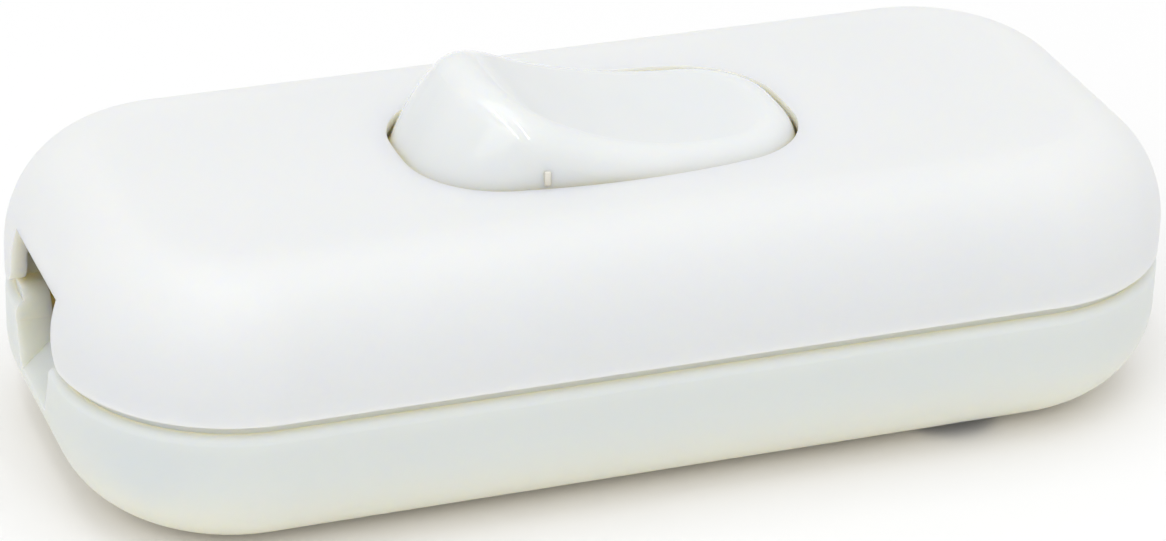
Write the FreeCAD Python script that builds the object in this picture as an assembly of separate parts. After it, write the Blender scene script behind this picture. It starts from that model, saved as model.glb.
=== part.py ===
"""Inline cord switch: a two-part moulded housing, a rocker and a two-pole see-saw mechanism.

Frame: +X along the housing, +Y away from the viewer, +Z up, origin under the middle of the base.
Rest pose: the rocker's right end is pressed in and its left end stands up. Millimetres and degrees.
"""

import FreeCAD, Part

import math
import os

V = FreeCAD.Vector
X_AXIS = V(1, 0, 0)
Y_AXIS = V(0, 1, 0)
Z_AXIS = V(0, 0, 1)
ORIGIN = V(0, 0, 0)

# Housing
length = 62.0
width = 28.2
plan_corner_r = 9.5
base_height = 8.5
cover_height = 7.2
top_edge_in = 4.95
top_edge_down = 5.85
bottom_edge_in = 5.6
bottom_edge_up = 5.3
base_wall = 2.0
base_floor = 1.8
cover_wall = 0.9
cover_roof = 1.5

# Shadow groove and lip joint between the halves
groove_depth = 0.55
groove_height = 0.6
rim_round = 0.5
lip_gap = 0.05
lip_height = 1.2

# Cord entries
slot_half_width = 4.2
slot_above_joint = 3.5
slot_corner_r = 1.5
notch_half_width = 3.4
notch_flare_r = 1.5
sill_half_width = 2.4
sill_below_joint = 3.9
sill_angle = 36.0

# Rocker opening: an oval of tangent arcs
opening_length = 22.14
opening_width = 13.46
opening_side_r = 40.0
opening_end_r = 30.0
opening_corner_r = 5.2
opening_land = 0.6
opening_relief = 0.4

# Rocker
rocker_gap = 0.3
rocker_end_gap = 0.12
rocker_tilt = 12.0
pivot_below_top = 4.4
dish_rise = 1.15
dish_r = 23.0
skirt_below_pivot = 1.0
rocker_wall = 1.2
rocker_edge_r = 1.8
trunnion_r = 0.9
trunnion_reach = 1.5
bearing_gap = 0.05
bearing_wall = 1.4
bearing_half_width = 2.6
bearing_below_pivot = 1.8
bearing_slot_width = 1.5

# Poles: the front one is nearer the viewer
pole_y = 3.4
pocket_r = 1.35
pocket_boss_r = 2.2
pocket_end_above_pivot = 3.4
boss_below_pivot = 2.4
boss_into_top = 0.3
web_above_skirt = 0.5
plunger_gap = 0.05
plunger_length = 3.8
plunger_nose_r = 0.9
plunger_nose_length = 1.4
plunger_taper = 0.3
plunger_clear = 0.03
spring_wire_r = 0.15
spring_coil_r = 0.85
spring_turns = 5

# Contact levers
lever_below_pivot = 4.3
lever_length = 13.0
lever_width = 3.6
lever_thick = 0.6
lever_tilt = 8.0
lever_lug_reach = 0.85
lever_lug_half = 0.6
lever_gap = 0.02
toe_length = 0.8
contact_x = 5.4
contact_head_r = 1.25
contact_head_height = 0.6
contact_shank_r = 0.7
rivet_tail_r = 1.1
rivet_tail_height = 0.3

# Terminals
strip_thick = 0.8
strip_below_lever = 2.8
strip_width = 4.0
strip_from_end = 12.8
strip_past_contact = 0.3
pad_length = 7.0
pad_width = 5.0
cradle_half_length = 2.0
cradle_wall = 0.8
cradle_gap = 0.1
cradle_notch_half = 0.8
cradle_above_seat = 0.9
knife_fall = 0.25
terminal_from_end = 16.6
washer_size = 4.6
washer_thick = 0.8

# Screws
terminal_screw_r = 1.5
terminal_head_r = 2.2
terminal_head_height = 1.8
terminal_screw_length = 3.4
clamp_screw_r = 1.3
clamp_head_r = 2.1
clamp_head_height = 1.6
clamp_screw_length = 5.6
housing_screw_r = 1.3
housing_head_r = 2.3
housing_head_height = 1.6
housing_screw_length = 7.6
screw_slot_width = 0.7
screw_slot_depth = 0.8
screw_head_round = 0.3
screw_gap = 0.04
thread_gap = 0.2
tip_gap = 0.5

# Screw places
clamp_from_end = 8.2
clamp_screw_y = 6.35
housing_screw_from_end = 13.2
housing_screw_y = 9.0
housing_boss_r = 3.0
counterbore_r = 2.6
counterbore_depth = 3.4

# Cord clamps and the bed under the cord
cord_r = 2.8
clamp_length = 4.4
clamp_thick = 1.3
clamp_ear_r = 2.2
clamp_corner_r = 1.2
clamp_cord_gap = 0.1
clamp_below_joint = 1.5
bed_below_clamp = 3.0
bed_half_width = 3.1
tooth_height = 0.5
tooth_width = 0.7

# Ribs in the base
rib_thick = 1.0
barrier_below_pivot = 3.9
barrier_high_below_pivot = 2.0
barrier_high_half = 7.4

# How far a cutting tool runs past what it cuts, the reach of a test for equal sizes, and how
# many points of each of the oval's arcs shape the rocker's barrel
past = 1.0
small = 0.001
barrel_steps = 6

# Places that follow from the sizes above
height = base_height + cover_height
pivot_z = height - pivot_below_top
roof_z = height - cover_roof
lip_out = cover_wall + lip_gap
rocker_a = opening_length / 2 - rocker_end_gap
rocker_b = opening_width / 2 - rocker_gap
bearing_y = opening_width / 2
land_above_pivot = pivot_below_top - opening_land
lever_seat_z = pivot_z - lever_below_pivot
lever_top_z = lever_seat_z + lever_thick
strip_z = lever_seat_z - strip_below_lever
strip_top_z = strip_z + strip_thick
strip_end_x = length / 2 - strip_from_end
terminal_x = length / 2 - terminal_from_end
clamp_x = length / 2 - clamp_from_end
clamp_seat_z = base_height - clamp_below_joint
bed_z = clamp_seat_z - bed_below_clamp
housing_screw_x = length / 2 - housing_screw_from_end
barrier_z = pivot_z - barrier_below_pivot
barrier_high_z = pivot_z - barrier_high_below_pivot
plunger_tip_z = lever_top_z + plunger_clear
plunger_r = pocket_r - plunger_gap


def point(u, z):
    """A point of an upright section: u outward, z up."""
    return V(u, 0, z)


def line(a, b):
    return Part.makeLine(a, b)


def quarter(center, first, second):
    """A quarter of an ellipse from center + first to center + second, two square directions."""
    if abs(first.Length - second.Length) < small:
        middle = center + (first + second) * math.sqrt(0.5)
        return Part.Edge(Part.Arc(center + first, middle, center + second))
    major, minor = (first, second) if first.Length >= second.Length else (second, first)
    ellipse = Part.Ellipse(center + major, center + minor, center)
    return Part.Edge(Part.ArcOfEllipse(ellipse, 0, math.pi / 2))


def face(edges):
    return Part.Face(Part.Wire(Part.__sortEdges__(edges)))


def polygon_face(points):
    return Part.Face(Part.makePolygon(points + points[:1]))


def box(x0, x1, y0, y1, z0, z1):
    return Part.makeBox(x1 - x0, y1 - y0, z1 - z0, V(x0, y0, z0))


def post(x, y, z0, z1, radius):
    return Part.makeCylinder(radius, z1 - z0, V(x, y, z0), Z_AXIS)


def fuse(shapes):
    return shapes[0].multiFuse(shapes[1:]).removeSplitter()


def both_ends(shape):
    """The shape and its copy turned half round the upright axis."""
    turned = shape.copy()
    turned.rotate(ORIGIN, Z_AXIS, 180)
    return [shape, turned]


def rounded_slab(slab_length, slab_width, corner_r, section):
    """A solid with a rounded rectangular plan. The section, drawn from the corner's centre
    outward, is turned round each corner and drawn along each side."""
    cx = slab_length / 2 - corner_r
    cy = slab_width / 2 - corner_r
    pieces = []
    for angle, sx, sy in ((0, 1, 1), (90, -1, 1), (180, -1, -1), (270, 1, -1)):
        middle = V(sx * cx, sy * cy, 0)
        start = section.copy()
        start.rotate(ORIGIN, Z_AXIS, angle)
        start.translate(middle)
        pieces.append(start.revolve(middle, Z_AXIS, 90))
        along = V(0, -2 * cy * sy, 0) if angle in (0, 180) else V(-2 * cx * sx, 0, 0)
        pieces.append(start.extrude(along))
    low = section.BoundBox.ZMin
    high = section.BoundBox.ZMax
    pieces.append(box(-cx, cx, -cy, cy, low, high))
    return fuse(pieces)


def oval_arcs(inset):
    """The opening's oval, each radius less the inset, as arcs of one quarter in order from the
    long side to the end: centre x and y, radius, first and last angle."""
    half_width = opening_width / 2 - inset
    half_length = opening_length / 2 - inset
    side_r = opening_side_r - inset
    end_r = opening_end_r - inset
    corner_r = opening_corner_r - inset
    side_y = half_width - side_r
    end_x = half_length - end_r

    # The corner's centre is side_r - corner_r from one centre and end_r - corner_r from the other
    r1 = side_r - corner_r
    r2 = end_r - corner_r
    apart = math.hypot(end_x, side_y)
    along = (r1 ** 2 - r2 ** 2 + apart ** 2) / (2 * apart)
    off = math.sqrt(r1 ** 2 - along ** 2)
    ux, uy = end_x / apart, -side_y / apart
    cx = along * ux + off * uy
    cy = side_y + along * uy - off * ux
    side_angle = math.atan2(cy - side_y, cx)
    end_angle = math.atan2(cy, cx - end_x)
    return [
        (0, side_y, side_r, math.pi / 2, side_angle),
        (cx, cy, corner_r, side_angle, end_angle),
        (end_x, 0, end_r, end_angle, 0),
    ]


def on_arc(arc, share):
    """A point of an oval's arc, share 0 at its start and 1 at its end."""
    cx, cy, radius, first, last = arc
    angle = first + (last - first) * share
    return cx + radius * math.cos(angle), cy + radius * math.sin(angle)


def oval_prism(z0, z1, inset):
    """An upright prism over the opening's oval, less the inset all round."""
    edges = []
    for arc in oval_arcs(inset):
        for sx in (-1, 1):
            for sy in (-1, 1):
                ends = [V(sx * x, sy * y, z0) for x, y in (on_arc(arc, t) for t in (0, 0.5, 1))]
                edges.append(Part.Edge(Part.Arc(*ends)))
    return face(edges).extrude(V(0, 0, z1 - z0))


def slotted_screw(x, y, seat_z, shank_r, shank_length, head_r, head_height, down=True):
    """A cheese-head screw. Its head sits on seat_z and its shank runs down, or up."""
    way = -1 if down else 1
    head_z0 = seat_z if down else seat_z - head_height
    head = post(x, y, head_z0, head_z0 + head_height, head_r)
    rim = [e for e in head.Edges if abs(e.BoundBox.ZMin - (seat_z - way * head_height)) < small
           and abs(e.BoundBox.ZLength) < small]
    head = head.makeFillet(screw_head_round, rim)
    shank = Part.makeCylinder(shank_r, shank_length, V(x, y, seat_z), V(0, 0, way))
    screw = fuse([head, shank])
    top_z = seat_z - way * head_height
    slot_z0, slot_z1 = sorted((top_z + way * screw_slot_depth, top_z - way * past))
    return screw.cut(box(x - head_r, x + head_r, y - screw_slot_width / 2,
                         y + screw_slot_width / 2, slot_z0, slot_z1))


def base_section():
    """Half section of the base's outside: rounded foot, rim, groove and lip."""
    r = plan_corner_r
    rim_z = base_height - groove_height
    lip_z = base_height + lip_height
    return face([
        line(point(0, 0), point(r - bottom_edge_in, 0)),
        quarter(point(r - bottom_edge_in, bottom_edge_up), point(0, -bottom_edge_up),
                point(bottom_edge_in, 0)),
        line(point(r, bottom_edge_up), point(r, rim_z - rim_round)),
        quarter(point(r - rim_round, rim_z - rim_round), point(rim_round, 0), point(0, rim_round)),
        line(point(r - rim_round, rim_z), point(r - groove_depth, rim_z)),
        line(point(r - groove_depth, rim_z), point(r - groove_depth, base_height)),
        line(point(r - groove_depth, base_height), point(r - lip_out, base_height)),
        line(point(r - lip_out, base_height), point(r - lip_out, lip_z)),
        line(point(r - lip_out, lip_z), point(0, lip_z)),
        line(point(0, lip_z), point(0, 0)),
    ])


def base_hollow():
    """The space inside the base, open at the top."""
    r = plan_corner_r - base_wall
    edge_in = bottom_edge_in - base_wall
    edge_up = bottom_edge_up - base_floor
    top = base_height + lip_height + past
    section = face([
        line(point(0, base_floor), point(r - edge_in, base_floor)),
        quarter(point(r - edge_in, base_floor + edge_up), point(0, -edge_up), point(edge_in, 0)),
        line(point(r, base_floor + edge_up), point(r, top)),
        line(point(r, top), point(0, top)),
        line(point(0, top), point(0, base_floor)),
    ])
    return rounded_slab(length - 2 * base_wall, width - 2 * base_wall, r, section)


def flare(half, r, way):
    """The rounded corners, of radius r, that widen a cord entry of this half width where it
    meets the joint: above the joint (way 1) or below it (-1)."""
    near = r * (1 - math.sqrt(0.5))
    x0 = length / 2 - top_edge_in - past
    z0 = base_height
    z1 = base_height + way * r
    middle_z = base_height + way * near
    edges = [
        line(V(x0, -half - r, z0), V(x0, half + r, z0)),
        Part.Edge(Part.Arc(V(x0, half + r, z0), V(x0, half + near, middle_z), V(x0, half, z1))),
        line(V(x0, half, z1), V(x0, -half, z1)),
        Part.Edge(Part.Arc(V(x0, -half, z1), V(x0, -half - near, middle_z),
                           V(x0, -half - r, z0))),
    ]
    return face(edges).extrude(V(top_edge_in + 2 * past, 0, 0))


def base_entry():
    """The tool for the right end's notch in the base: sides that lean in to a sill, a sill that
    falls outward, and rounded corners at the joint. The lip stops short of it on both sides."""
    x0 = length / 2 - base_wall - past
    x1 = length / 2 + past
    top = base_height + lip_height + past
    sill_z = base_height - sill_below_joint
    low = sill_z - past
    upright_z = base_height - notch_flare_r
    slope = math.tan(math.radians(sill_angle))
    notch = polygon_face([
        V(x0, -sill_half_width, low), V(x0, sill_half_width, low),
        V(x0, sill_half_width, sill_z), V(x0, notch_half_width, upright_z),
        V(x0, notch_half_width, top), V(x0, -notch_half_width, top),
        V(x0, -notch_half_width, upright_z), V(x0, -sill_half_width, sill_z),
    ]).extrude(V(x1 - x0, 0, 0))
    above_sill = polygon_face([
        V(x0, -width, top), V(x1, -width, top), V(x1, -width, sill_z - slope * past),
        V(x0, -width, sill_z + slope * (base_wall + past)),
    ]).extrude(V(0, 2 * width, 0))
    lip_half = slot_half_width + slot_corner_r
    lip_cut = box(x0, x1, -lip_half, lip_half, base_height, top)
    return fuse([notch, lip_cut, flare(notch_half_width, notch_flare_r, -1)]).common(above_sill)


def base_shell():
    shell = rounded_slab(length, width, plan_corner_r, base_section()).cut(base_hollow())
    inside = base_hollow()
    ribs = []

    # Pedestals under the four terminal pads, with room for the screws' tips
    for sx in (-1, 1):
        for sy in (-1, 1):
            x0, x1 = sorted((sx * (strip_end_x - pad_length), sx * strip_end_x))
            y0, y1 = sorted((sy * (pole_y - pad_width / 2), sy * (pole_y + pad_width / 2)))
            ribs.append(box(x0, x1, y0, y1, 0, strip_z))

    # Rails under the strips and the wall between the poles
    rail_end = strip_end_x - pad_length / 2
    for sy in (-1, 1):
        for edge in (-1, 1):
            y = sy * pole_y + edge * (strip_width / 2 - rib_thick / 2)
            ribs.append(box(-rail_end, rail_end, y - rib_thick / 2, y + rib_thick / 2, 0, strip_z))
    ribs.append(box(-strip_end_x, strip_end_x, -rib_thick / 2, rib_thick / 2, 0, barrier_z))
    ribs.append(box(-barrier_high_half, barrier_high_half, -rib_thick / 2, rib_thick / 2,
                    0, barrier_high_z))

    # Pillars and toothed beds for the cord clamps
    for sx in (-1, 1):
        for sy in (-1, 1):
            ribs.append(post(sx * clamp_x, sy * clamp_screw_y, 0, clamp_seat_z, clamp_ear_r))
        ribs.append(box(sx * clamp_x - clamp_length / 2, sx * clamp_x + clamp_length / 2,
                        -bed_half_width, bed_half_width, 0, bed_z))
        for step in (-1, 1):
            x = sx * clamp_x + step * clamp_length / 4
            tooth = polygon_face([V(x - tooth_width / 2, -bed_half_width, bed_z),
                                  V(x + tooth_width / 2, -bed_half_width, bed_z),
                                  V(x, -bed_half_width, bed_z + tooth_height)])
            ribs.append(tooth.extrude(V(0, 2 * bed_half_width, 0)))

    # Bosses for the two housing screws
    for sign in (-1, 1):
        ribs.append(post(sign * housing_screw_x, -sign * housing_screw_y, 0, base_height,
                         housing_boss_r))
    ribs_in = fuse(ribs).common(inside)
    shell = fuse([shell, ribs_in])

    # Holes
    cuts = []
    tip_z = strip_top_z + washer_thick - terminal_screw_length - tip_gap
    clamp_tip_z = clamp_seat_z + clamp_thick - clamp_screw_length - tip_gap
    for sx in (-1, 1):
        for sy in (-1, 1):
            cuts.append(post(sx * terminal_x, sy * pole_y, tip_z, strip_z + past,
                             terminal_screw_r + thread_gap))
            cuts.append(post(sx * clamp_x, sy * clamp_screw_y, clamp_tip_z,
                             clamp_seat_z + past, clamp_screw_r + screw_gap))
    for sign in (-1, 1):
        x, y = sign * housing_screw_x, -sign * housing_screw_y
        cuts.append(post(x, y, -past, counterbore_depth, counterbore_r))
        cuts.append(post(x, y, -past, base_height + past, housing_screw_r + screw_gap))
    cuts += both_ends(base_entry())
    for cut in cuts:
        shell = shell.cut(cut)
    return shell


def cover_shell():
    r = plan_corner_r
    outside = face([
        line(point(0, base_height), point(r, base_height)),
        line(point(r, base_height), point(r, height - top_edge_down)),
        quarter(point(r - top_edge_in, height - top_edge_down), point(top_edge_in, 0),
                point(0, top_edge_down)),
        line(point(r - top_edge_in, height), point(0, height)),
        line(point(0, height), point(0, base_height)),
    ])
    ri = plan_corner_r - cover_wall
    edge_in = top_edge_in - cover_wall
    edge_down = top_edge_down - cover_roof
    low = base_height - past
    inside = face([
        line(point(0, low), point(ri, low)),
        line(point(ri, low), point(ri, roof_z - edge_down)),
        quarter(point(ri - edge_in, roof_z - edge_down), point(edge_in, 0), point(0, edge_down)),
        line(point(ri - edge_in, roof_z), point(0, roof_z)),
        line(point(0, roof_z), point(0, low)),
    ])
    shell = rounded_slab(length, width, r, outside)
    hollow = rounded_slab(length - 2 * cover_wall, width - 2 * cover_wall, ri, inside)
    shell = shell.cut(hollow)

    # Screw bosses and the two bearings that the rocker snaps into from below
    adds = []
    for sign in (-1, 1):
        adds.append(post(sign * housing_screw_x, -sign * housing_screw_y, base_height, height,
                         housing_boss_r).common(hollow))
    for sy in (-1, 1):
        y0, y1 = sorted((sy * bearing_y, sy * (bearing_y + bearing_wall)))
        adds.append(box(-bearing_half_width, bearing_half_width, y0, y1,
                        pivot_z - bearing_below_pivot, roof_z))
    shell = fuse([shell] + adds)

    # Rocker opening, relieved below its land
    shell = shell.cut(oval_prism(roof_z - past, height + past, 0.0))
    relief = oval_prism(roof_z, height - opening_land, -opening_relief)
    keep = box(-bearing_half_width, bearing_half_width, -width, width, 0, height)
    shell = shell.cut(relief.cut(keep))

    # Bearing holes and their snap slots
    hole = Part.makeCylinder(trunnion_r + bearing_gap, width, V(0, -width / 2, pivot_z), Y_AXIS)
    slot = box(-bearing_slot_width / 2, bearing_slot_width / 2, -width / 2, width / 2,
               pivot_z - bearing_below_pivot - past, pivot_z)
    reach = bearing_y + bearing_wall + past
    middle = box(-bearing_half_width, bearing_half_width, -reach, reach, 0, height)
    shell = shell.cut(fuse([hole, slot]).common(middle))

    # Screw pilot holes
    for sign in (-1, 1):
        shell = shell.cut(post(sign * housing_screw_x, -sign * housing_screw_y,
                               base_height - past,
                               counterbore_depth + housing_screw_length + tip_gap,
                               housing_screw_r + screw_gap))

    # Cord entries: upright slots whose lower corners are rounded away
    for entry in both_ends(cover_entry()):
        shell = shell.cut(entry)
    return shell


def cover_entry():
    """The tool for the right end's slot in the cover."""
    slot = box(length / 2 - top_edge_in - past, length / 2 + past, -slot_half_width,
               slot_half_width, base_height - past, base_height + slot_above_joint)
    return fuse([slot, flare(slot_half_width, slot_corner_r, 1)])


def rocker_barrel(inset):
    """A solid of revolution about the pivot axis. Its level section at the foot of the opening's
    land is the opening less the rocker's gaps, so the gap stays even as the rocker rocks."""
    shrink = (rocker_a - inset) / (opening_length / 2)
    squeeze = (rocker_b - inset) / (opening_width / 2)
    curve = []
    for arc in oval_arcs(0.0):
        for step in range(barrel_steps):
            x, y = on_arc(arc, step / barrel_steps)
            curve.append(V(math.hypot(x * shrink, land_above_pivot), y * squeeze, 0))
    lower = [V(p.x, -p.y, 0) for p in curve]
    tip = V(math.hypot(rocker_a - inset, land_above_pivot), 0, 0)
    outline = Part.BSplineCurve()
    outline.interpolate(curve + [tip] + lower[::-1])
    top, foot = curve[0], lower[0]
    half = face([
        outline.toShape(),
        line(foot, V(0, foot.y, 0)),
        line(V(0, foot.y, 0), V(0, top.y, 0)),
        line(V(0, top.y, 0), top),
    ])
    return half.revolve(ORIGIN, Y_AXIS, 360)


def rocker_profile(inset, bottom):
    """Side view of the rocker, level, with the pivot at the origin, as a face in the XZ plane."""
    a = opening_length
    low_z = pivot_below_top + dish_rise - inset
    dish = dish_r + inset
    end_z = low_z + dish - math.sqrt(dish ** 2 - a ** 2)
    return face([
        line(point(-a, bottom), point(a, bottom)),
        line(point(a, bottom), point(a, end_z)),
        Part.Edge(Part.Arc(point(a, end_z), point(0, low_z), point(-a, end_z))),
        line(point(-a, end_z), point(-a, bottom)),
    ])


def rocker_form(inset, bottom):
    """The barrel cut to the side view, with its dished top."""
    profile = rocker_profile(inset, bottom)
    profile.translate(V(0, -width / 2, 0))
    return rocker_barrel(inset).common(profile.extrude(V(0, width, 0)))


def rocker_level():
    """The rocker, level, with the pivot at the origin."""
    bottom = -skirt_below_pivot
    body = rocker_form(0.0, bottom)
    rim = []
    for edge in body.Edges:
        faces = body.ancestorsOfType(edge, Part.Face)
        if edge.BoundBox.ZMin > pivot_below_top and is_rim(faces):
            rim.append(edge)
    body = body.makeFillet(rocker_edge_r, rim)
    body = body.cut(rocker_form(rocker_wall, bottom - past))

    # Pocket bosses, joined by a web, and the trunnions
    boss_top = dish_rise + pivot_below_top - boss_into_top
    adds = [box(-rib_thick / 2, rib_thick / 2, -pole_y, pole_y, bottom + web_above_skirt, boss_top)]
    for sy in (-1, 1):
        adds.append(post(0, sy * pole_y, -boss_below_pivot, boss_top, pocket_boss_r))
        adds.append(Part.makeCylinder(trunnion_r, rocker_wall + trunnion_reach,
                                      V(0, sy * (rocker_b - rocker_wall), 0), V(0, sy, 0)))
    body = fuse([body] + adds)
    for sy in (-1, 1):
        body = body.cut(post(0, sy * pole_y, -boss_below_pivot - past, pocket_end_above_pivot,
                             pocket_r))
    return body


def is_rim(faces):
    """True for an edge between the barrel's side and the rocker's top."""
    kinds = [type(f.Surface).__name__ for f in faces]
    turned = [k in ("Toroid", "Sphere", "SurfaceOfRevolution") for k in kinds]
    return any(turned) and not all(turned)


def tilt(shape):
    """Moves a shape drawn level about the pivot to its place at rest."""
    moved = shape.copy()
    moved.rotate(ORIGIN, Y_AXIS, rocker_tilt)
    moved.translate(V(0, 0, pivot_z))
    return moved


def plunger(y):
    """A pin with a round nose, drawn level about the pivot."""
    tip = plunger_tip_z - pivot_z
    top = tip + plunger_length
    nose_z = tip + plunger_nose_r
    neck_z = tip + plunger_nose_length
    section = face([
        line(point(0, top), point(plunger_r, top)),
        line(point(plunger_r, top), point(plunger_r, neck_z + plunger_taper)),
        line(point(plunger_r, neck_z + plunger_taper), point(plunger_nose_r, neck_z)),
        line(point(plunger_nose_r, neck_z), point(plunger_nose_r, nose_z)),
        quarter(point(0, nose_z), point(plunger_nose_r, 0), point(0, -plunger_nose_r)),
        line(point(0, tip), point(0, top)),
    ])
    pin = section.revolve(ORIGIN, Z_AXIS, 360)
    pin.translate(V(0, y, 0))
    return tilt(pin)


def plunger_spring(y):
    """A coil spring between the plunger and the end of its pocket."""
    low = plunger_tip_z - pivot_z + plunger_length + spring_wire_r
    high = pocket_end_above_pivot - spring_wire_r
    pitch = (high - low) / spring_turns
    helix = Part.makeHelix(pitch, high - low, spring_coil_r)
    helix.translate(V(0, 0, low))
    start = V(spring_coil_r, 0, low)
    along = V(0, 2 * math.pi * spring_coil_r, pitch)
    wire = Part.Wire(Part.makeCircle(spring_wire_r, start, along))
    # The seam is turned to the top of the wire, where the coil's mesh closes cleanly
    wire.rotate(start, along, 90)
    coil = Part.Wire(helix.Edges).makePipeShell([wire], True, True)
    coil.translate(V(0, y, 0))
    return tilt(coil)


def contact_lever(y):
    """A see-saw strip with two lugs at its seat, a hole for its rivet and a toe that rests."""
    half = lever_length / 2
    strip = box(-half, half, -lever_width / 2, lever_width / 2, 0, lever_thick)
    lug_y = lever_width / 2 + lever_lug_reach
    lugs = box(-lever_lug_half, lever_lug_half, -lug_y, lug_y, 0, lever_thick)
    angle = math.radians(lever_tilt)
    toe_low = (strip_top_z + lever_gap - lever_seat_z + half * math.sin(angle)) / math.cos(angle)
    toe = box(-half, -half + toe_length, -lever_width / 2, lever_width / 2, toe_low, lever_thick)
    lever = fuse([strip, lugs, toe])
    lever = lever.cut(post(contact_x, 0, -past, lever_thick + past, contact_shank_r))
    return seat_lever(lever, y)


def seat_lever(shape, y):
    """Tilts a shape drawn about the lever's seat so that the left arm is down."""
    moved = shape.copy()
    moved.rotate(ORIGIN, Y_AXIS, -lever_tilt)
    moved.translate(V(0, y, lever_seat_z))
    return moved


def moving_contact(y):
    """A rivet: head below the lever, shank through it and its tail closed over above."""
    head = post(contact_x, 0, -contact_head_height, 0, contact_head_r)
    shank = post(contact_x, 0, 0, lever_thick, contact_shank_r)
    tail = post(contact_x, 0, lever_thick, lever_thick + rivet_tail_height, rivet_tail_r)
    return seat_lever(fuse([head, shank, tail]), y)


def fixed_contact_top():
    """Height of the fixed contact, just under the moving one when the right arm is down."""
    angle = math.radians(lever_tilt)
    edge = contact_x + contact_head_r
    low = -edge * math.sin(angle) - contact_head_height * math.cos(angle)
    return lever_seat_z + low - lever_gap


def common_terminal(y):
    """Left pad, strip and the cradle with its two knife-edge seats."""
    x0 = -strip_end_x
    pad = box(x0, x0 + pad_length, y - pad_width / 2, y + pad_width / 2, strip_z, strip_top_z)
    strip = box(x0 + pad_length, cradle_half_length, y - strip_width / 2,
                y + strip_width / 2, strip_z, strip_top_z)
    ear_in = lever_width / 2 + cradle_gap
    ear_out = ear_in + cradle_wall
    floor = box(-cradle_half_length, cradle_half_length, y - ear_out, y + ear_out, strip_z,
                strip_top_z)
    ear_top = lever_seat_z + cradle_above_seat
    parts = [pad, strip, floor]
    for sy in (-1, 1):
        y0, y1 = sorted((y + sy * ear_in, y + sy * ear_out))
        peak = lever_seat_z - lever_gap
        low = peak - knife_fall
        n = cradle_notch_half
        h = cradle_half_length
        side = polygon_face([
            V(-h, y0, strip_z), V(h, y0, strip_z), V(h, y0, ear_top), V(n, y0, ear_top),
            V(n, y0, low), V(0, y0, peak), V(-n, y0, low), V(-n, y0, ear_top), V(-h, y0, ear_top),
        ])
        parts.append(side.extrude(V(0, y1 - y0, 0)))
    terminal = fuse(parts)
    return terminal.cut(post(-terminal_x, y, strip_z - past, strip_top_z + past,
                             terminal_screw_r + screw_gap))


def switched_terminal(y):
    """Right pad and the strip that carries the fixed contact."""
    x1 = strip_end_x
    pad = box(x1 - pad_length, x1, y - pad_width / 2, y + pad_width / 2, strip_z, strip_top_z)
    strip = box(contact_x - contact_head_r - strip_past_contact, x1 - pad_length,
                y - strip_width / 2, y + strip_width / 2, strip_z, strip_top_z)
    terminal = fuse([pad, strip])
    terminal = terminal.cut(post(terminal_x, y, strip_z - past, strip_top_z + past,
                                 terminal_screw_r + screw_gap))
    return terminal.cut(post(contact_x, y, strip_z - past, strip_top_z + past, contact_shank_r))


def fixed_contact(y):
    top = fixed_contact_top()
    head = post(contact_x, y, strip_top_z, top, contact_head_r)
    shank = post(contact_x, y, strip_z, strip_top_z, contact_shank_r)
    return fuse([head, shank])


def cord_clamp(sign):
    """An arched strip over the cord with an ear at each side."""
    x = sign * clamp_x
    half = clamp_length / 2
    inner = cord_r + clamp_cord_gap
    outer = inner + clamp_thick
    ear_y = clamp_screw_y + clamp_ear_r
    z0 = clamp_seat_z
    ears = box(x - half, x + half, -ear_y, ear_y, z0, z0 + clamp_thick)
    arch = Part.makeCylinder(outer, clamp_length, V(x - half, 0, z0), X_AXIS)
    tunnel = Part.makeCylinder(inner, clamp_length + 2 * past, V(x - half - past, 0, z0), X_AXIS)
    above = box(x - half, x + half, -ear_y, ear_y, z0, z0 + outer)
    clamp = fuse([ears, arch]).common(above).cut(tunnel)
    corners = []
    for edge in clamp.Edges:
        bounds = edge.BoundBox
        upright = bounds.XLength < small and bounds.YLength < small
        if upright and abs(abs(bounds.YMin) - ear_y) < small:
            corners.append(edge)
    clamp = clamp.makeFillet(clamp_corner_r, corners)
    for sy in (-1, 1):
        clamp = clamp.cut(post(x, sy * clamp_screw_y, z0 - past, z0 + clamp_thick + past,
                               clamp_screw_r + screw_gap))
    return clamp


def terminal_screws():
    seat = strip_top_z + washer_thick
    return [slotted_screw(sx * terminal_x, sy * pole_y, seat, terminal_screw_r,
                          terminal_screw_length, terminal_head_r, terminal_head_height)
            for sx in (-1, 1) for sy in (-1, 1)]


def terminal_washers():
    half = washer_size / 2
    washers = []
    for sx in (-1, 1):
        for sy in (-1, 1):
            x, y = sx * terminal_x, sy * pole_y
            plate = box(x - half, x + half, y - half, y + half, strip_top_z,
                        strip_top_z + washer_thick)
            washers.append(plate.cut(post(x, y, 0, height, terminal_screw_r + screw_gap)))
    return washers


def clamp_screws():
    seat = clamp_seat_z + clamp_thick
    return [slotted_screw(sx * clamp_x, sy * clamp_screw_y, seat, clamp_screw_r,
                          clamp_screw_length, clamp_head_r, clamp_head_height)
            for sx in (-1, 1) for sy in (-1, 1)]


def housing_screws():
    return [slotted_screw(sign * housing_screw_x, -sign * housing_screw_y, counterbore_depth,
                          housing_screw_r, housing_screw_length, housing_head_r,
                          housing_head_height, down=False)
            for sign in (-1, 1)]


def save(name, shape):
    """Writes one sub-part. A list of solids is written as one group."""
    if isinstance(shape, list):
        shape = Part.makeCompound([one.Solids[0] for one in shape])
    elif len(shape.Solids) == 1:
        shape = shape.Solids[0]
    if not shape.isValid():
        print("not valid:", name)
    shape.exportStep(os.path.join("parts", name + ".step"))
    print(name, len(shape.Solids), round(shape.Volume, 3))


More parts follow.
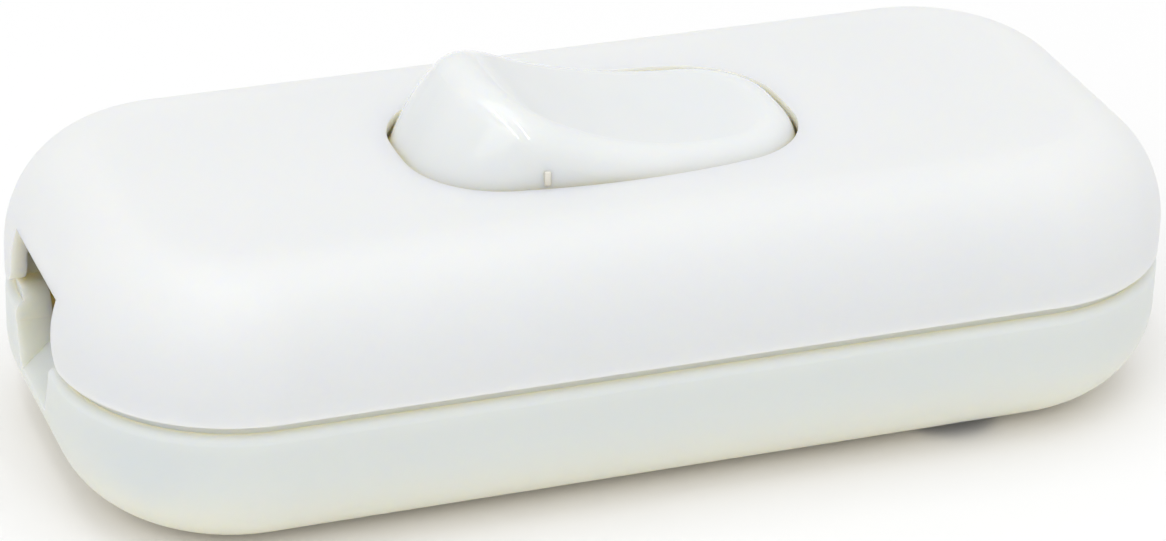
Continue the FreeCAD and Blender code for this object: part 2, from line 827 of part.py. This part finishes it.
def main():
    os.makedirs("parts", exist_ok=True)
    save("base_shell", base_shell())
    save("cover_shell", cover_shell())
    save("rocker", tilt(rocker_level()))
    for side, y in (("front", -pole_y), ("rear", pole_y)):
        save("plunger_" + side, plunger(y))
        save("plunger_spring_" + side, plunger_spring(y))
        save("contact_lever_" + side, contact_lever(y))
        save("moving_contact_" + side, moving_contact(y))
        save("common_terminal_" + side, common_terminal(y))
        save("switched_terminal_" + side, switched_terminal(y))
        save("fixed_contact_" + side, fixed_contact(y))
    save("terminal_screws", terminal_screws())
    save("terminal_washers", terminal_washers())
    save("cord_clamp_left", cord_clamp(-1))
    save("cord_clamp_right", cord_clamp(1))
    save("clamp_screws", clamp_screws())
    save("housing_screws", housing_screws())


main()
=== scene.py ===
"""Looks of the inline cord switch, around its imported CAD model. Metres, in the row's frame."""

import math

import bmesh
import bpy
from mathutils import Matrix, Vector
from mathutils.bvhtree import BVHTree


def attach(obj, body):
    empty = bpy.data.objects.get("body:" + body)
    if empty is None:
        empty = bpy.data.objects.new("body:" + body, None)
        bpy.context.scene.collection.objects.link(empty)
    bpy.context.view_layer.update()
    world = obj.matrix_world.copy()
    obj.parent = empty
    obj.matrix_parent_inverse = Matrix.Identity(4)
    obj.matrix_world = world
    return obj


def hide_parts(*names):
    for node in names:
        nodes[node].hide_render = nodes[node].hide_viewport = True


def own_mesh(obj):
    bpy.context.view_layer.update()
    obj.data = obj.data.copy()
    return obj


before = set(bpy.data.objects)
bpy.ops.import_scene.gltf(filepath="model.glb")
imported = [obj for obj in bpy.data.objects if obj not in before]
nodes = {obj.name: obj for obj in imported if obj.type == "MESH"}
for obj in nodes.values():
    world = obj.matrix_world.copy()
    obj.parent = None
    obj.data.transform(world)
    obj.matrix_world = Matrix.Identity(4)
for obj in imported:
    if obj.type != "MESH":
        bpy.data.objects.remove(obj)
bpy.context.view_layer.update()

MM = 0.001
SMOOTH_BELOW = math.radians(28)
# Painted bounce light: the lighter cream that occluded gaps and shell insides are turned to
PAINTED_BOUNCE_CREAM = "FAF1D8"


def linear(hex_colour):
    """An sRGB hex colour as linear RGBA."""
    parts = [int(hex_colour[i:i + 2], 16) / 255 for i in (0, 2, 4)]
    return [c / 12.92 if c <= 0.04045 else ((c + 0.055) / 1.055) ** 2.4 for c in parts] + [1.0]


def add(tree, kind, settings=None, links=None):
    """Adds a node. Settings are its properties, links its sockets' values or what feeds them."""
    made = tree.nodes.new(kind)
    for name, value in (settings or {}).items():
        setattr(made, name, value)
    for name, value in (links or {}).items():
        if isinstance(value, bpy.types.NodeSocket):
            tree.links.new(value, made.inputs[name])
        else:
            made.inputs[name].default_value = value
    return made


def new_material(name, settings):
    """A material with a bare Principled shader and the object's own coordinates in metres."""
    material = bpy.data.materials.new(name)
    material.use_nodes = True
    tree = material.node_tree
    tree.nodes.clear()
    shader = add(tree, "ShaderNodeBsdfPrincipled", links=settings)
    output = add(tree, "ShaderNodeOutputMaterial")
    tree.links.new(shader.outputs["BSDF"], output.inputs["Surface"])
    place = add(tree, "ShaderNodeTexCoord").outputs["Object"]
    return material, tree, shader, place


def per_metre(size_mm):
    """The scale of a texture whose features are this many millimetres apart."""
    return 1 / (size_mm * MM)


def paint_bounce_light_in_gaps(tree, shader, tone, painted_bounce_tone):
    """Painted bounce light: where ambient occlusion finds almost nothing open within the reach,
    in a gap or inside a shell, the tone turns to a lighter cream that stands in for light bounced
    many times."""
    reach_mm, all_deep, all_plain = 40, 0.03, 0.18
    seen = add(tree, "ShaderNodeAmbientOcclusion", {"samples": 2}, {"Distance": reach_mm * MM})
    depth = add(tree, "ShaderNodeMapRange", links={
        "Value": seen.outputs["AO"], "From Min": all_deep, "From Max": all_plain, "To Min": 1.0,
        "To Max": 0.0})
    blend = add(tree, "ShaderNodeMix", {"data_type": "RGBA"}, {
        "Factor": depth.outputs["Result"], 6: tone, 7: painted_bounce_tone})
    tree.links.new(blend.outputs[2], shader.inputs["Base Color"])


def moulded_housing(name, light_tone, dark_tone):
    """ABS, moulded in a spark-eroded tool: white, satin, with a fine even grain that softens
    every highlight, and the faint cloudiness of a thick moulding."""
    material, tree, shader, place = new_material(name, {
        "IOR": 1.53, "Specular IOR Level": 0.45,
        "Subsurface Weight": 1.0, "Subsurface Radius": (0.0018, 0.0016, 0.0011),
        "Subsurface Scale": 1.0,
    })
    cloud = add(tree, "ShaderNodeTexNoise", links={
        "Vector": place, "Scale": per_metre(14), "Detail": 2.0, "Roughness": 0.5})
    tone = add(tree, "ShaderNodeMix", {"data_type": "RGBA"}, {
        "Factor": cloud.outputs["Fac"], 6: linear(dark_tone), 7: linear(light_tone)})
    # Painted bounce light: the tone turns cream in occluded gaps
    paint_bounce_light_in_gaps(tree, shader, tone.outputs[2], linear(PAINTED_BOUNCE_CREAM))
    # The real grain is about 0.03 mm; it is drawn at 0.18 mm so that it shows
    grain = add(tree, "ShaderNodeTexNoise", links={
        "Vector": place, "Scale": per_metre(0.18), "Detail": 3.0, "Roughness": 0.6})
    sheen_patches = add(tree, "ShaderNodeMapRange", links={
        "Value": cloud.outputs["Fac"], "From Min": 0.3, "From Max": 0.7,
        "To Min": 0.40, "To Max": 0.46})
    tree.links.new(sheen_patches.outputs["Result"], shader.inputs["Roughness"])
    bump = add(tree, "ShaderNodeBump", links={
        "Height": grain.outputs["Fac"], "Strength": 0.12, "Distance": 0.02 * MM})
    tree.links.new(bump.outputs["Normal"], shader.inputs["Normal"])
    return material


def polished_rocker():
    """Polycarbonate, moulded in a polished tool: a shade cooler and much glossier than the
    housing, with the long shallow waves that a polisher leaves."""
    material, tree, shader, place = new_material("polycarbonate_moulded_polished", {
        "IOR": 1.58, "Subsurface Weight": 1.0,
        "Subsurface Radius": (0.0016, 0.0014, 0.001), "Subsurface Scale": 1.0,
    })
    waves = add(tree, "ShaderNodeTexNoise", links={
        "Vector": place, "Scale": per_metre(4), "Detail": 1.0, "Roughness": 0.4})
    tone = add(tree, "ShaderNodeMix", {"data_type": "RGBA"}, {
        "Factor": waves.outputs["Fac"], 6: linear("E1E4E4"), 7: linear("E4E6E6")})
    # Painted bounce light: the tone turns cream in occluded gaps
    paint_bounce_light_in_gaps(tree, shader, tone.outputs[2], linear(PAINTED_BOUNCE_CREAM))
    handling = add(tree, "ShaderNodeTexNoise", links={
        "Vector": place, "Scale": per_metre(1.1), "Detail": 4.0, "Roughness": 0.6})
    wear = add(tree, "ShaderNodeMapRange", links={
        "Value": handling.outputs["Fac"], "From Min": 0.35, "From Max": 0.7,
        "To Min": 0.05, "To Max": 0.09})
    tree.links.new(wear.outputs["Result"], shader.inputs["Roughness"])
    bump = add(tree, "ShaderNodeBump", links={
        "Height": waves.outputs["Fac"], "Strength": 0.2, "Distance": 0.02 * MM})
    tree.links.new(bump.outputs["Normal"], shader.inputs["Normal"])
    return material


def cut_gate():
    """Polycarbonate where the runner was cut off: torn dull, and tanned a little by the heat."""
    material, tree, shader, place = new_material("polycarbonate_cut_gate", {
        "IOR": 1.58, "Roughness": 0.4})
    tear = add(tree, "ShaderNodeTexNoise", links={
        "Vector": place, "Scale": per_metre(0.3), "Detail": 3.0})
    tone = add(tree, "ShaderNodeMix", {"data_type": "RGBA"}, {
        "Factor": tear.outputs["Fac"], 6: linear("DDD8CB"), 7: linear("EDEBE4")})
    tree.links.new(tone.outputs[2], shader.inputs["Base Color"])
    bump = add(tree, "ShaderNodeBump", links={
        "Height": tear.outputs["Fac"], "Strength": 0.4, "Distance": 0.04 * MM})
    tree.links.new(bump.outputs["Normal"], shader.inputs["Normal"])
    return material


def waxy_plunger():
    """Acetal, moulded: natural, slightly see-through and waxy, with soft broad highlights."""
    material, tree, shader, place = new_material("acetal_moulded_natural", {
        "IOR": 1.48, "Roughness": 0.33, "Subsurface Weight": 0.25,
        "Subsurface Radius": (0.0015, 0.0014, 0.0012), "Subsurface Scale": 1.0,
    })
    flow = add(tree, "ShaderNodeTexNoise", links={
        "Vector": place, "Scale": per_metre(1.5), "Detail": 2.0})
    tone = add(tree, "ShaderNodeMix", {"data_type": "RGBA"}, {
        "Factor": flow.outputs["Fac"], 6: linear("E4E2DA"), 7: linear("EDEBE4")})
    tree.links.new(tone.outputs[2], shader.inputs["Base Color"])
    bump = add(tree, "ShaderNodeBump", links={
        "Height": flow.outputs["Fac"], "Strength": 0.15, "Distance": 0.02 * MM})
    tree.links.new(bump.outputs["Normal"], shader.inputs["Normal"])
    return material


def moulded_clamp():
    """Polyamide, moulded: a warmer white than the housing, with a dull mottled skin."""
    material, tree, shader, place = new_material("polyamide_moulded", {
        "IOR": 1.53, "Roughness": 0.5, "Subsurface Weight": 0.1,
        "Subsurface Radius": (0.001, 0.001, 0.0009), "Subsurface Scale": 1.0,
    })
    skin = add(tree, "ShaderNodeTexNoise", links={
        "Vector": place, "Scale": per_metre(0.6), "Detail": 4.0, "Roughness": 0.6})
    tone = add(tree, "ShaderNodeMix", {"data_type": "RGBA"}, {
        "Factor": skin.outputs["Fac"], 6: linear("E8E5DA"), 7: linear("EFECE3")})
    # Painted bounce light: the tone turns cream in occluded gaps
    paint_bounce_light_in_gaps(tree, shader, tone.outputs[2], linear(PAINTED_BOUNCE_CREAM))
    bump = add(tree, "ShaderNodeBump", links={
        "Height": skin.outputs["Fac"], "Strength": 0.3, "Distance": 0.02 * MM})
    tree.links.new(bump.outputs["Normal"], shader.inputs["Normal"])
    return material


def rolled_brass():
    """Brass strip, rolled and pressed: fine lines along the strip and a light brown tarnish in
    soft patches."""
    material, tree, shader, place = new_material("brass_rolled_strip", {
        "Metallic": 1.0})
    # Rolling lines are about 0.05 mm apart; they are drawn 0.15 mm apart so that they show
    stretched = add(tree, "ShaderNodeMapping", links={
        "Vector": place, "Scale": (per_metre(6), per_metre(0.15), per_metre(0.15))})
    lines = add(tree, "ShaderNodeTexNoise", links={
        "Vector": stretched.outputs["Vector"], "Scale": 1.0, "Detail": 2.0})
    tarnish = add(tree, "ShaderNodeTexNoise", links={
        "Vector": place, "Scale": per_metre(3), "Detail": 3.0, "Roughness": 0.6})
    patches = add(tree, "ShaderNodeMapRange", links={
        "Value": tarnish.outputs["Fac"], "From Min": 0.45, "From Max": 0.7})
    tone = add(tree, "ShaderNodeMix", {"data_type": "RGBA"}, {
        "Factor": patches.outputs["Result"], 6: linear("E2C27A"), 7: linear("B8924F")})
    tree.links.new(tone.outputs[2], shader.inputs["Base Color"])
    dull = add(tree, "ShaderNodeMapRange", links={
        "Value": lines.outputs["Fac"], "From Min": 0.3, "From Max": 0.7,
        "To Min": 0.24, "To Max": 0.42})
    tree.links.new(dull.outputs["Result"], shader.inputs["Roughness"])
    bump = add(tree, "ShaderNodeBump", links={
        "Height": lines.outputs["Fac"], "Strength": 0.25, "Distance": 0.01 * MM})
    tree.links.new(bump.outputs["Normal"], shader.inputs["Normal"])
    return material


def silver_rivet():
    """Silver alloy, headed: a pale satin with the faint mottle of its grain."""
    material, tree, shader, place = new_material("silver_alloy_headed", {
        "Metallic": 1.0})
    grain = add(tree, "ShaderNodeTexNoise", links={
        "Vector": place, "Scale": per_metre(0.3), "Detail": 3.0})
    tone = add(tree, "ShaderNodeMix", {"data_type": "RGBA"}, {
        "Factor": grain.outputs["Fac"], 6: linear("D8D4CC"), 7: linear("F0EEE8")})
    tree.links.new(tone.outputs[2], shader.inputs["Base Color"])
    dull = add(tree, "ShaderNodeMapRange", links={
        "Value": grain.outputs["Fac"], "To Min": 0.2, "To Max": 0.38})
    tree.links.new(dull.outputs["Result"], shader.inputs["Roughness"])
    return material


def zinc_plated():
    """Steel, zinc-plated: a cool silver with a very slight yellow and blue bloom, and the
    fine pits of the plating."""
    material, tree, shader, place = new_material("steel_zinc_plated", {
        "Metallic": 1.0})
    bloom = add(tree, "ShaderNodeTexNoise", links={
        "Vector": place, "Scale": per_metre(1.6), "Detail": 2.0})
    tone = add(tree, "ShaderNodeMix", {"data_type": "RGBA"}, {
        "Factor": bloom.outputs["Fac"], 6: linear("C9CBD0"), 7: linear("D6D3C6")})
    tree.links.new(tone.outputs[2], shader.inputs["Base Color"])
    # Plating pits are under 0.02 mm; they are drawn 0.12 mm apart so that they show
    pits = add(tree, "ShaderNodeTexNoise", links={
        "Vector": place, "Scale": per_metre(0.12), "Detail": 3.0})
    dull = add(tree, "ShaderNodeMapRange", links={
        "Value": pits.outputs["Fac"], "From Min": 0.3, "From Max": 0.7,
        "To Min": 0.25, "To Max": 0.42})
    tree.links.new(dull.outputs["Result"], shader.inputs["Roughness"])
    bump = add(tree, "ShaderNodeBump", links={
        "Height": pits.outputs["Fac"], "Strength": 0.2, "Distance": 0.01 * MM})
    tree.links.new(bump.outputs["Normal"], shader.inputs["Normal"])
    return material


def drawn_wire():
    """Spring steel, drawn: a darker, oily grey with short streaks along the wire."""
    material, tree, shader, place = new_material("spring_steel_drawn", {
        "Metallic": 1.0})
    streaks = add(tree, "ShaderNodeTexNoise", links={
        "Vector": place, "Scale": per_metre(0.25), "Detail": 2.0})
    tone = add(tree, "ShaderNodeMix", {"data_type": "RGBA"}, {
        "Factor": streaks.outputs["Fac"], 6: linear("8E8F92"), 7: linear("B4B4B3")})
    tree.links.new(tone.outputs[2], shader.inputs["Base Color"])
    dull = add(tree, "ShaderNodeMapRange", links={
        "Value": streaks.outputs["Fac"], "To Min": 0.18, "To Max": 0.36})
    tree.links.new(dull.outputs["Result"], shader.inputs["Roughness"])
    return material


def dress(finish, *names):
    """Gives CAD nodes a finish and smooth shading between their real edges."""
    for name in names:
        piece = nodes[name]
        piece.data.materials.clear()
        piece.data.materials.append(finish)
        piece.data.set_sharp_from_angle(angle=SMOOTH_BELOW)
        for polygon in piece.data.polygons:
            polygon.use_smooth = True


dress(moulded_housing("abs_moulded_spark_eroded", "E4E5E5", "E1E3E3"), "cover_shell")
# Painted shade: the base is given a greyer tone than the cover, standing in for the shade on the
# lower half, which gets less light from below
dress(moulded_housing("abs_moulded_spark_eroded_base_painted_shade", "D8DDDD", "D5DADA"), "base_shell")
dress(polished_rocker(), "rocker")
dress(waxy_plunger(), "plunger_front", "plunger_rear")
dress(moulded_clamp(), "cord_clamp_left", "cord_clamp_right")
dress(rolled_brass(), "contact_lever_front", "contact_lever_rear", "common_terminal_front",
      "common_terminal_rear", "switched_terminal_front", "switched_terminal_rear")
dress(silver_rivet(), "moving_contact_front", "moving_contact_rear", "fixed_contact_front",
      "fixed_contact_rear")
dress(zinc_plated(), "terminal_screws", "terminal_washers", "clamp_screws", "housing_screws")
dress(drawn_wire(), "plunger_spring_front", "plunger_spring_rear")


def gate_mark():
    """The stub left where the rocker's moulding was cut from its runner: a small upright rib at
    the foot of the front wall. It stands well inside the gap around the rocker."""
    width, depth, height = 0.34 * MM, 0.3 * MM, 0.8 * MM
    proud, edge_round = 0.1 * MM, 0.08 * MM
    in_front = Vector((-4.8, -12, 16.1)) * MM
    rocker = nodes["rocker"]
    corners = [rocker.matrix_world @ v.co for v in rocker.data.vertices]
    wall = BVHTree.FromPolygons(corners, [p.vertices for p in rocker.data.polygons])
    foot, outward = wall.ray_cast(in_front, Vector((0, 1, 0)))[:2]
    upward = (Vector((0, 0, 1)) - outward * outward.z).normalized()
    across = outward.cross(upward)
    shape = bmesh.new()
    bmesh.ops.create_cube(shape, size=1.0)
    bmesh.ops.scale(shape, vec=(width, depth, height), verts=shape.verts)
    bmesh.ops.bevel(shape, geom=shape.edges[:], offset=edge_round, segments=3, profile=0.5,
                    affect="EDGES")
    turn = Matrix((across, outward, upward)).transposed().to_4x4()
    middle = foot + outward * (proud - depth / 2)
    shape.transform(Matrix.Translation(middle) @ turn)
    mesh = bpy.data.meshes.new("gate_mark")
    shape.to_mesh(mesh)
    shape.free()
    for polygon in mesh.polygons:
        polygon.use_smooth = True
    mesh.materials.append(cut_gate())
    mark = bpy.data.objects.new("gate_mark", mesh)
    bpy.context.scene.collection.objects.link(mark)
    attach(mark, "rocker")


gate_mark()


def coil_springs():
    """Each spring is hidden and a copy of its mesh is attached to the rocker in its place."""
    pivot_z, pocket_end, pole_y = 11.3 * MM, 3.4 * MM, 3.4 * MM
    for side, y in (("front", -pole_y), ("rear", pole_y)):
        spring = nodes["plunger_spring_" + side]
        coil = bpy.data.objects.new("coil_spring_" + side, spring.data.copy())
        bpy.context.scene.collection.objects.link(coil)
        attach(coil, "rocker")
        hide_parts(spring.name)
        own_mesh(coil)


coil_springs()


def studio_floor():
    """A plain pale floor under the switch."""
    half_side = 3.0
    mesh = bpy.data.meshes.new("floor")
    shape = bmesh.new()
    bmesh.ops.create_grid(shape, x_segments=1, y_segments=1, size=half_side)
    shape.to_mesh(mesh)
    shape.free()
    floor = bpy.data.objects.new("floor", mesh)
    bpy.context.scene.collection.objects.link(floor)
    paper = new_material("floor_paper", {"Roughness": 0.9, "Base Color": linear("F2F2F2")})[0]
    mesh.materials.append(paper)


def softbox(name, near_end, far_end, width, watts):
    """A rectangular area light between the middles of its two ends, facing the switch."""
    near_end, far_end = Vector(near_end), Vector(far_end)
    middle = (near_end + far_end) / 2
    lamp = bpy.data.lights.new(name, "AREA")
    lamp.shape = "RECTANGLE"
    lamp.size = width
    lamp.size_y = (far_end - near_end).length
    lamp.energy = watts
    switch_middle = Vector((0, 0, 10)) * MM
    along = (far_end - near_end).normalized()
    across = along.cross(middle - switch_middle).normalized()
    turn = Matrix((across, along, across.cross(along))).transposed().to_4x4()
    light = bpy.data.objects.new(name, lamp)
    light.matrix_world = Matrix.Translation(middle) @ turn
    bpy.context.scene.collection.objects.link(light)


def studio():
    """Soft light from all round, a large softbox overhead, a weak one at the front left, and two
    narrow ones whose reflections are the pair of slivers on the rocker's crest. Each lamp's ends
    are in metres, then come its width in metres and its watts."""
    world = bpy.data.worlds.new("studio")
    world.use_nodes = True
    all_round = world.node_tree.nodes["Background"]
    all_round.inputs["Color"].default_value = (1, 1, 1, 1)
    all_round.inputs["Strength"].default_value = 0.8
    bpy.context.scene.world = world
    softbox("overhead_softbox", (0, -0.3, 0.8), (0, 0.3, 0.8), 0.6, 1.3)
    softbox("front_left_softbox", (-0.56, -0.56, 0.3), (-0.34, -0.34, 0.7), 0.5, 0.68)
    softbox("long_strip", (-0.18, -0.61, 0.48), (-0.15, 0.08, 0.78), 0.03, 0.46)
    softbox("short_strip", (0.05, -0.61, 0.51), (0.08, -0.2, 0.77), 0.03, 0.3)
    bpy.context.scene.view_settings.view_transform = "Standard"


def camera():
    """The photograph's view: fitted to the outline of the housing and of the rocker's opening."""
    azimuth = math.radians(21.25)
    elevation = math.radians(26.98)
    roll = math.radians(1.97)
    aim = Vector((0, 0, 7.836 * MM))
    distance = 240.6 * MM
    focal_px = 4426.1
    image_width = 1166
    right_px, up_px = -5.816, -13.149
    back = Vector((-math.sin(azimuth) * math.cos(elevation),
                   -math.cos(azimuth) * math.cos(elevation), math.sin(elevation)))
    level = Vector((math.cos(azimuth), -math.sin(azimuth), 0))
    upright = back.cross(level)
    right = level * math.cos(roll) + upright * math.sin(roll)
    up = upright * math.cos(roll) - level * math.sin(roll)
    turn = Matrix((right, up, back)).transposed().to_4x4()
    data = bpy.data.cameras.new("camera")
    data.sensor_width = 36
    data.lens = focal_px * data.sensor_width / image_width
    data.shift_x = right_px / image_width
    data.shift_y = up_px / image_width
    data.clip_start = 10 * MM
    seen_from = bpy.data.objects.new("camera", data)
    seen_from.matrix_world = Matrix.Translation(aim + back * distance) @ turn
    bpy.context.scene.collection.objects.link(seen_from)
    bpy.context.scene.camera = seen_from


studio_floor()
studio()
camera()
